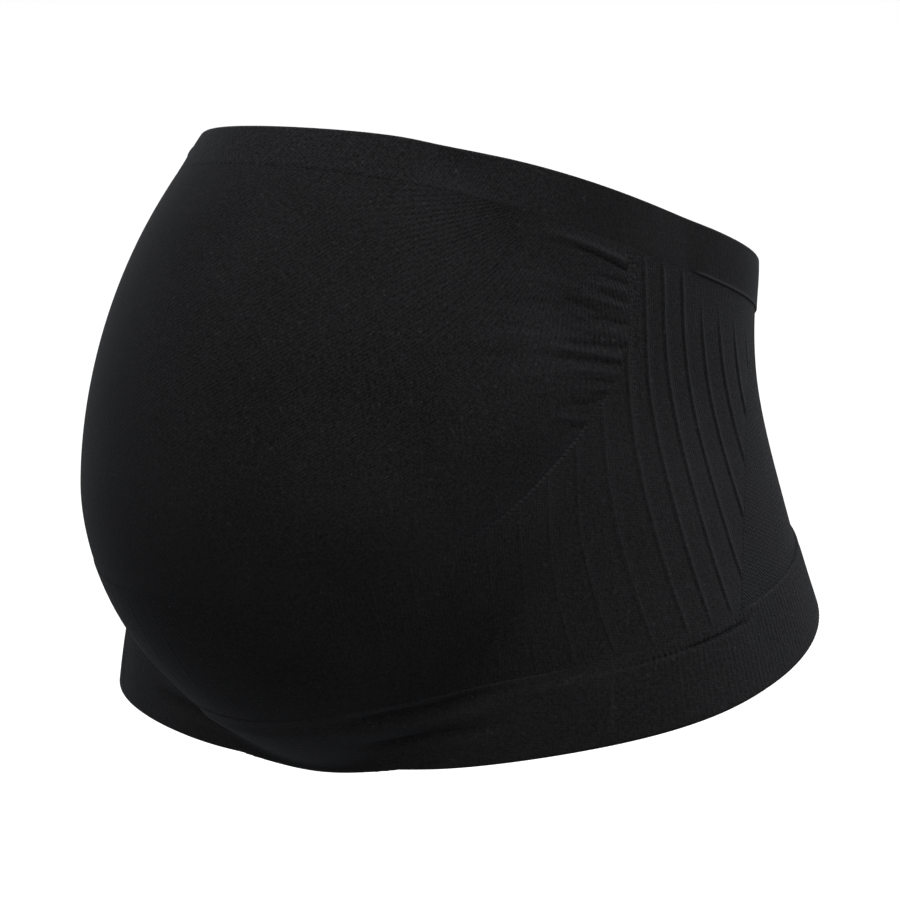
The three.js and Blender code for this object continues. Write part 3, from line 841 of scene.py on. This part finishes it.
# One upright crease with a painted highlight on it, and a painted highlight along the seam, broken
# into dashes
CREASE = (61.8, 0.22)
CREASE_STAND = 0.25 * MM
CREASE_PAINTED_HIGHLIGHT = 0.16
CREASE_RISE = (0, 1 / 3)
CREASE_FALL = (0.65, 0.2)
LIT_SHARES = (0.8, 0.45)
LIT_TURNS = ((12, 10), (50, 8))
BACK_LIT = 2.0
BACK_LIT_TURNS = ((86, 3), (100, 6))
LIT_LINE = (0.5 * MM, 0.6 * MM)
LIT_TONE = 0.13
DASHES = (0.65, 0.35)
# Painted light over the band's front quarters, by turn
LOWER_PAINTED_LIGHT = 0.10
LOWER_PAINTED_LIGHT_TURNS = (42, 24)
LOWER_GRAIN = 0.35


def make_lower_band():

    def between(side, turns):
        begins, ends = turns
        return rise(side, *begins) * fall(side, *ends)

    def profile(turn):
        side = abs(turn)
        low, high = hem_edge(turn), lower_seam(turn)
        tall = high - low
        rib_wave = math.cos(math.radians(turn) * FINE_RIBS)
        fine = rib_wave * lerp(*FINE_RIB_STANDS, rise(side, *FINE_RIB_TURNS))
        fold = math.exp(-(((side - FOLD_TURN) / FOLD_TURNS) ** 4))
        merged = between(side, MERGED_TURNS)
        front = fall(side, *FRONT_TURNS)
        near = lerp(lerp(*LOWER_STANDS, front), SUPPORT_WALL + MERGED_STAND, merged)
        foot_stand = SUPPORT_WALL - lerp(lerp(*LOWER_SINKS, front), MERGED_SINK, merged)
        dots = 1 - fall(side, *DOTTED_TURNS) * (0.5 - 0.5 * rib_wave)
        groove = between(side, LIP_TURNS)
        crease = hump(side, *CREASE)

        def thickness(distance):
            return lerp(near, LOWER_WALL, rise(distance, *LOWER_FILL))

        def relief(height, distance):
            share = 1 - distance / tall
            base, gain = FINE_RIB_SHARES
            total = fine * (base + gain * rise(share, *FINE_RIB_RISE))
            total = total + CREASE_STAND * crease * rise(share, *CREASE_RISE)
            for up, depth, width in FOLDS:
                total = total + depth * MM * fold * hump(share, up, width)
            below = distance - LIP
            total = total - LIP_GROOVE * groove * dots * hump(below, 0, LIP_GROOVE_WIDTH)
            total = total + LIP_RIDGE * groove * hump(below, *LIP_RIDGE_HUMP)
            return total + LOWER_RIPPLE * ripple(turn, height, LOWER_RIPPLE_PITCH, 33)

        height, stand, away = welt_profile(high, low, thickness, relief, foot_stand, LOWER_ROLLED)
        share = 1 - away / tall
        begins, ends = LIT_TURNS
        lit = lerp(*LIT_SHARES, rise(side, *begins)) * fall(side, *ends)
        lit = lit + BACK_LIT * between(side, BACK_LIT_TURNS)
        middle, swing = DASHES
        dashes = middle + swing * math.cos(math.radians(turn) * FINE_RIBS / 2)
        # Painted light over the band's front quarters
        tone = LOWER_PAINTED_LIGHT * hump(side, *LOWER_PAINTED_LIGHT_TURNS)
        # A painted highlight along the seam, broken into dashes
        tone = tone + LIT_TONE * lit * dashes * hump(away, *LIT_LINE)
        # Painted shade in the groove under the lip
        tone = tone - LIP_GROOVE_PAINTED_SHADE * groove * dots * hump(away, LIP, LIP_GROOVE_PAINTED_SHADE_WIDTH)
        # A painted highlight on the crease
        tone = tone + CREASE_PAINTED_HIGHLIGHT * crease * rise(share, *CREASE_RISE) * fall(share, *CREASE_FALL)
        # Painted shade in the folds and painted highlight on their ridges
        for up, depth, width in FOLDS:
            tone = tone + FOLD_PAINTED_LIGHT_AND_SHADE * depth * fold * hump(share, up, width)
        return height, stand, tone, LOWER_GRAIN

    count = FINE_RIBS * COLUMNS_PER_RIB
    return ring("lower_band_knit", np.linspace(-180, 180, count, endpoint=False), profile)


# Materials
class Field:
    """A number that varies over the surface, kept as a chain of Math nodes."""

    def __init__(self, tree, socket):
        self.tree = tree
        self.socket = socket

    def _join(self, operation, *others):
        node = self.tree.nodes.new("ShaderNodeMath")
        node.operation = operation
        for index, value in enumerate((self, *others)):
            if isinstance(value, Field):
                self.tree.links.new(value.socket, node.inputs[index])
            else:
                node.inputs[index].default_value = value
        return Field(self.tree, node.outputs[0])

    def __add__(self, other):
        return self._join("ADD", other)

    def __sub__(self, other):
        return self._join("SUBTRACT", other)

    def __mul__(self, other):
        return self._join("MULTIPLY", other)

    def sine(self):
        return self._join("SINE")

    def absolute(self):
        return self._join("ABSOLUTE")

    def fraction(self):
        return self._join("FRACT")

    def over(self, limit):
        return self._join("GREATER_THAN", limit)


def wave(field, pitch):
    """0 to 1 and back over each pitch."""
    return (field * (2 * math.pi / pitch)).sine() * 0.5 + 0.5


def noise(tree, vector, scale, detail):
    node = tree.nodes.new("ShaderNodeTexNoise")
    node.inputs["Scale"].default_value = scale
    node.inputs["Detail"].default_value = detail
    tree.links.new(vector, node.inputs["Vector"])
    return Field(tree, node.outputs["Fac"])


def layer_of(tree, name):
    """The two numbers that a named layer of the mesh holds."""
    place = tree.nodes.new("ShaderNodeUVMap")
    place.uv_map = name
    split = tree.nodes.new("ShaderNodeSeparateXYZ")
    tree.links.new(place.outputs["UV"], split.inputs[0])
    return Field(tree, split.outputs["X"]), Field(tree, split.outputs["Y"])


# The yarn's colour lies between two multiples of INK, by a shade from 0 to 1
INK = (0.0072, 0.0072, 0.0078)
DARKEST = 0.25
LIGHTEST = 3.4
MIDDLE_SHADE = 0.238
# Painted shade in the hollows of the stitches and strain lines, and painted light on their tops
STITCH_PAINTED_SHADE = 0.11
CLOUD_SHADE = 0.16
# Noise by scale and detail: the yarn's grain, broken strain lines, soft clouds and lint
GRAIN = (850, 3)
BREAKS = (160, 2)
CLOUDS = (26, 3)
LINT = (420, 1)
LINT_LIMIT = 0.72
# What grain adds to, as its gain and its base: the bump, the shade of the yarn and of its lint
GRAIN_RELIEF = (1.6, 0.7)
GRAIN_SHADE = (0.9, 0.4)
LINT_SHADE = (0.4, 0.1)
BREAK_CONTRAST = (2.6, 0.5)
DOT_LIMIT = 0.55
ROUGHNESS = 0.8
SPECULAR = 0.03
SHEEN = 0.025
SHEEN_ROUGHNESS = 0.45
SHEEN_TINT = (0.80, 0.88, 1.0, 1)


def knit_material(name, colour, stitches, depth, dots=0.0, strain=0.0):
    """Near-black yarn: stitches as a bump, a grain of lighter and darker yarn, painted shade in
    the stitches' hollows, and the tones, painted light and shade among them.
    """
    material = bpy.data.materials.new(name)
    material.use_nodes = True
    tree = material.node_tree
    shader = tree.nodes["Principled BSDF"]
    wale, course = layer_of(tree, "knit")
    tone, grain = layer_of(tree, "mark")
    cycle, strength = layer_of(tree, "strain")
    spot = tree.nodes.new("ShaderNodeTexCoord").outputs["Object"]
    yarn = noise(tree, spot, *GRAIN)
    broken = noise(tree, spot, *BREAKS)

    def grained(gain, base):
        return grain * gain + base

    relief = stitches(wale, course, grain)
    if strain:
        contrast, cut = BREAK_CONTRAST
        lines = (wave(cycle, 1.0) - 0.5) * strength * (broken * contrast - cut)
        relief = relief + lines * strain
    bump = tree.nodes.new("ShaderNodeBump")
    bump.inputs["Distance"].default_value = depth
    tree.links.new((relief + yarn * grained(*GRAIN_RELIEF)).socket, bump.inputs["Height"])
    tree.links.new(bump.outputs["Normal"], shader.inputs["Normal"])
    # The tone holds the yarn's own tone and the painted light and shade of ribs, folds, seams and
    # ledges
    shade = tone + MIDDLE_SHADE
    # Painted shade in the stitches' hollows, painted light on their tops
    shade = shade + (relief - 0.5) * STITCH_PAINTED_SHADE
    shade = shade + (yarn - 0.5) * grained(*GRAIN_SHADE)
    shade = shade + (noise(tree, spot, *CLOUDS) - 0.5) * CLOUD_SHADE
    shade = shade + (noise(tree, spot, *LINT) - LINT_LIMIT).over(0.0) * grained(*LINT_SHADE)
    if dots:
        shade = shade + (wave(cycle, 1.0) - DOT_LIMIT).over(0.0) * strength * dots
    mix = tree.nodes.new("ShaderNodeMix")
    mix.data_type = "RGBA"
    mix.inputs["A"].default_value = (*[c * DARKEST for c in colour], 1)
    mix.inputs["B"].default_value = (*[c * LIGHTEST for c in colour], 1)
    tree.links.new(shade.socket, mix.inputs["Factor"])
    tree.links.new(mix.outputs["Result"], shader.inputs["Base Color"])
    shader.inputs["Roughness"].default_value = ROUGHNESS
    shader.inputs["Specular IOR Level"].default_value = SPECULAR
    shader.inputs["Sheen Weight"].default_value = SHEEN
    shader.inputs["Sheen Roughness"].default_value = SHEEN_ROUGHNESS
    shader.inputs["Sheen Tint"].default_value = SHEEN_TINT
    return material


# Stitches of each knit, by wale and course in millimetres: waves by pitch, times their depth
def jersey(wale, course, grain):
    slanted = course + wave(wale, 1.1) * 0.4
    dashes = wave(wale * 0.64 - course * 0.77, 1.5) * grain * 1.3
    return wave(wale, 1.1) * 0.25 + wave(slanted, 0.85) * 0.25 + dashes


def slanted_rib(wale, course, grain):
    stripes = wave(wale.absolute() * 0.8 + course * -0.6, 1.5)
    return stripes * grain * 1.0 + wave(wale, 1.2) * 0.2 + wave(course, 0.8) * 0.15 + 0.1


def support_knit(wale, course, grain):
    return wave(wale, 1.3) * 0.3 + wave(course, 1.1) * 0.2 + 0.2


def mesh_knit(wale, course, grain):
    zigzag = ((wale.absolute() * (1 / 3.0)).fraction() - 0.5).absolute()
    return wave(course + zigzag * 2.6 + wale.absolute() * 0.35, 1.9) * 0.9


def band_knit(wale, course, grain):
    return wave(course, 0.9) * 0.3 + wave(wale, 1.27) * 0.25 + 0.2


def dress(piece, node, material):
    piece.data.materials.append(material)
    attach(piece, "root")
    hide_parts(node)


# Depths of the materials' bumps
FINE_BUMP = 0.25 * MM
JERSEY_BUMP = 0.24 * MM
MESH_BUMP = 0.5 * MM

upper_band = make_upper_band()
bump_panel = make_bump_panel()
support_panel = make_support_panel()
back_panel = make_back_panel()
lower_band = make_lower_band()
dress(upper_band, "upper_band", knit_material("upper_band", INK, slanted_rib, FINE_BUMP))
dress(bump_panel, "bump_panel", knit_material("bump_panel", INK, jersey, JERSEY_BUMP, strain=1.15))
dress(support_panel, "support_panel",
      knit_material("support_panel", INK, support_knit, FINE_BUMP, dots=0.4))
dress(back_panel, "back_panel", knit_material("back_panel", INK, mesh_knit, MESH_BUMP))
dress(lower_band, "lower_band", knit_material("lower_band", INK, band_knit, FINE_BUMP))


# Studio
FLOOR_DROP = 0.30
FLOOR_HALF = 6.0
FLOOR_CURVE = 1.5
FLOOR_CURVE_STEPS = 12
FLOOR_ROUGHNESS = 0.9
# The dome's brightness from straight below to straight above, and how much brighter the right is
DOME = [(0.0, 0.25), (0.38, 0.45), (0.47, 1.05), (0.75, 1.1), (1.0, 1.3)]
DOME_TILT = 0.3
# Softboxes: azimuth and elevation from the band, size and power
LIGHT_DISTANCE = 2.2
LIGHTS = [
    ("key", 25, 60, (1.6, 1.6), 26),
    ("back_right", 150, 25, (1.0, 1.8), 20),
    ("back_left", -70, 35, (1.0, 1.8), 6),
]


def make_floor():
    """A pale floor, well below the band, that curves up behind it."""
    profile = [(-FLOOR_HALF, 0.0), (FLOOR_HALF, 0.0)]
    for angle in np.linspace(0, math.pi / 2, FLOOR_CURVE_STEPS + 1)[1:]:
        behind = FLOOR_HALF + FLOOR_CURVE * math.sin(angle)
        profile.append((behind, FLOOR_CURVE * (1 - math.cos(angle))))
    profile.append((FLOOR_HALF + FLOOR_CURVE, FLOOR_HALF))
    heading = math.radians(AZIMUTH)
    away = Vector((-math.sin(heading), math.cos(heading), 0))
    right = Vector((math.cos(heading), math.sin(heading), 0))
    points = []
    for distance, up in profile:
        for across in (-FLOOR_HALF, FLOOR_HALF):
            points.append(away * distance + right * across + Vector((0, 0, up - FLOOR_DROP)))
    faces = [(2 * i, 2 * i + 1, 2 * i + 3, 2 * i + 2) for i in range(len(profile) - 1)]
    mesh = bpy.data.meshes.new("floor")
    mesh.from_pydata(points, [], faces)
    mesh.polygons.foreach_set("use_smooth", [True] * len(faces))
    floor = bpy.data.objects.new("floor", mesh)
    bpy.context.scene.collection.objects.link(floor)
    material = bpy.data.materials.new("floor")
    material.use_nodes = True
    shader = material.node_tree.nodes["Principled BSDF"]
    shader.inputs["Base Color"].default_value = (1.0, 1.0, 1.0, 1)
    shader.inputs["Roughness"].default_value = FLOOR_ROUGHNESS
    shader.inputs["Specular IOR Level"].default_value = 0
    mesh.materials.append(material)
    floor.visible_diffuse = False
    floor.visible_glossy = False


def make_world():
    """A soft dome: brightest overhead, dim from below."""
    world = bpy.data.worlds.new("studio")
    bpy.context.scene.world = world
    world.use_nodes = True
    tree = world.node_tree
    ground = tree.nodes["Background"]
    place = tree.nodes.new("ShaderNodeTexCoord")
    split = tree.nodes.new("ShaderNodeSeparateXYZ")
    ramp = tree.nodes.new("ShaderNodeValToRGB")
    tree.links.new(place.outputs["Generated"], split.inputs[0])
    up = Field(tree, split.outputs["Z"]) * 0.5 + 0.5
    tree.links.new(up.socket, ramp.inputs["Fac"])
    while len(ramp.color_ramp.elements) < len(DOME):
        ramp.color_ramp.elements.new(0.5)
    for element, (level, value) in zip(ramp.color_ramp.elements, DOME):
        element.position = level
        element.color = (value, value, value, 1)
    tree.links.new(ramp.outputs["Color"], ground.inputs["Color"])
    heading = math.radians(AZIMUTH)
    right = Field(tree, split.outputs["X"]) * math.cos(heading)
    right = right + Field(tree, split.outputs["Y"]) * math.sin(heading)
    tree.links.new((right * DOME_TILT + 1.0).socket, ground.inputs["Strength"])


def toward(azimuth, elevation, distance):
    """A point that far from the band, seen from it at those angles."""
    a, e = math.radians(azimuth), math.radians(elevation)
    across, ahead = math.sin(a) * math.cos(e), -math.cos(a) * math.cos(e)
    return FOCUS + distance * Vector((across, ahead, math.sin(e)))


def softbox(name, at, size, power):
    light = bpy.data.lights.new(name, "AREA")
    light.shape = "RECTANGLE"
    light.size, light.size_y = size
    light.energy = power
    lamp = bpy.data.objects.new(name, light)
    lamp.location = at
    lamp.rotation_euler = (FOCUS - at).to_track_quat("-Z", "Y").to_euler()
    bpy.context.scene.collection.objects.link(lamp)


make_floor()
make_world()
for name, azimuth, elevation, size, power in LIGHTS:
    softbox(name, toward(azimuth, elevation, LIGHT_DISTANCE), size, power)

camera = bpy.data.objects.new("camera", bpy.data.cameras.new("camera"))
camera.data.lens = LENS
camera.data.sensor_width = SENSOR
camera.location = toward(AZIMUTH, ELEVATION, DISTANCE)
camera.rotation_euler = (AIM - camera.location).to_track_quat("-Z", "Y").to_euler()
bpy.context.scene.collection.objects.link(camera)
bpy.context.scene.camera = camera
bpy.context.scene.view_settings.view_transform = "Standard"
